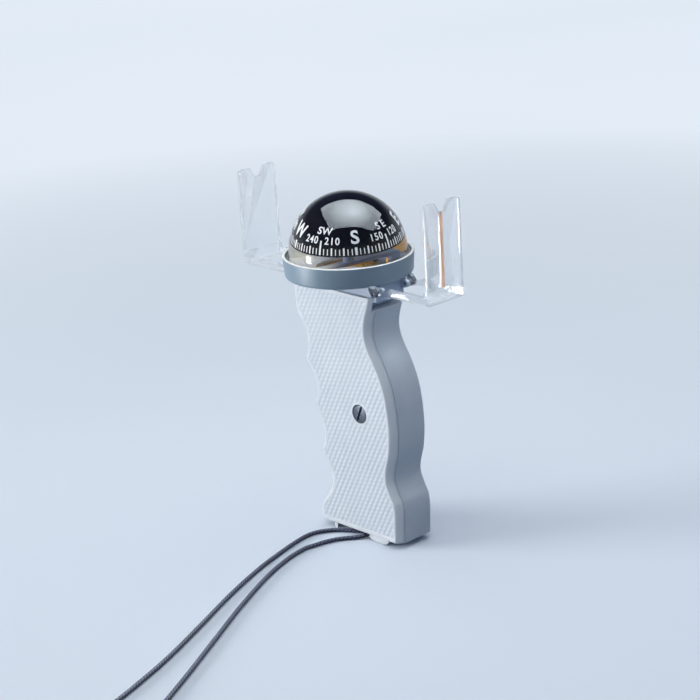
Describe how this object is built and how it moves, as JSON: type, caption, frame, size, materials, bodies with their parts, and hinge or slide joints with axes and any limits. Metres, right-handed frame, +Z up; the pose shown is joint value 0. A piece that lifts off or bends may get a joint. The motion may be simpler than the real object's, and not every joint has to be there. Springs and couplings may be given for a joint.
{
  "type": "handheld bearing compass",
  "caption": "Pistol-grip bearing compass: domed liquid card capsule in a band, two clear folding sights, lamp button in the grip and a wrist lanyard.",
  "frame": {"origin": "on the surface it stands on, under the capsule's axis, midway between the two sights and the band's sides", "axes": "+Z up along the capsule's axis, +Y towards the front sight, the way the user looks, +X to the user's right"},
  "size_m": [0.2806, 0.1577, 0.1834],
  "materials": {
    "grip": "fine satin moulded plastic",
    "grip_cover": "moulded plastic with a fine raised non-slip texture",
    "foot": "satin moulded plastic",
    "neck": "satin moulded plastic",
    "band": "satin moulded plastic",
    "card": "gloss black with white marks",
    "card_float": "satin",
    "clear": "clear polished plastic",
    "orange": "painted line",
    "amber": "amber moulded plastic",
    "cream": "cream moulded plastic",
    "steel": "plain",
    "screw": "darkened slotted screw",
    "brass": "plain",
    "cord": "fine braided navy cord",
    "rubber": "matte",
    "button": "matte",
    "board": "plain",
    "cell": "plain sleeve",
    "wire": "insulated wire"
  },
  "bodies": {
    "grip": {"grip_body": "grip", "side_cover": "grip_cover", "cover_screw": "screw", "screw_insert": "brass", "foot_piece": "foot", "lanyard_bar": "steel", "lanyard": "cord", "lanyard_hitch": "cord", "hinge_block": "neck", "housing_band": "band", "clear_dome": "clear", "dome_seal": "rubber", "capsule_bowl": "cream", "filler_plug": "brass", "clamp_ring": "rubber", "diaphragm": "amber", "diaphragm_ring": "brass", "lubber_ring": "amber", "pivot_bridge": "cream", "pivot_pin": "steel", "hinge_pin_front_left": "steel", "hinge_pin_front_right": "steel", "hinge_pin_rear_left": "steel", "hinge_pin_rear_right": "steel", "neck_screw_front": "steel", "neck_screw_rear": "steel", "head_screw_front": "steel", "head_screw_rear": "steel", "cell_front": "cell", "cell_rear": "cell", "contact_bridge": "steel", "contact_positive": "brass", "contact_negative": "brass", "switch_plate": "board", "switch_leaf": "brass", "button_spring": "steel", "lamp_holder": "board", "lamp": "clear", "lamp_wire_left": "wire", "lamp_wire_right": "wire"},
    "front_sight_leaf": {"front_sight": "clear"},
    "rear_sight_leaf": {"rear_sight": "clear", "sighting_line": "orange"},
    "card": {"compass_card": "card", "card_float": "card_float", "jewel_cup": "brass", "card_magnet_left": "steel", "card_magnet_right": "steel"},
    "button": {"push_button": "button"}
  },
  "joints": [
    {"name": "front_sight_fold", "type": "hinge", "parent": "grip", "child": "front_sight_leaf", "pos_m": [0, 0.031, 0.1351], "axis": [1, 0, 0], "range_deg": [0, 65]},
    {"name": "rear_sight_fold", "type": "hinge", "parent": "grip", "child": "rear_sight_leaf", "pos_m": [0, -0.031, 0.1351], "axis": [-1, 0, 0], "range_deg": [0, 65]},
    {"name": "card_spin", "type": "hinge", "parent": "grip", "child": "card", "pos_m": [0, 0, 0.1493], "axis": [0, 0, 1], "continuous": true},
    {"name": "button_press", "type": "slide", "parent": "grip", "child": "button", "axis": [0, -1, 0], "range_m": [0, 0.0018], "stiffness_N_per_m": 300, "springref_m": -0.0015, "deforming": ["button_spring"]}
  ]
}
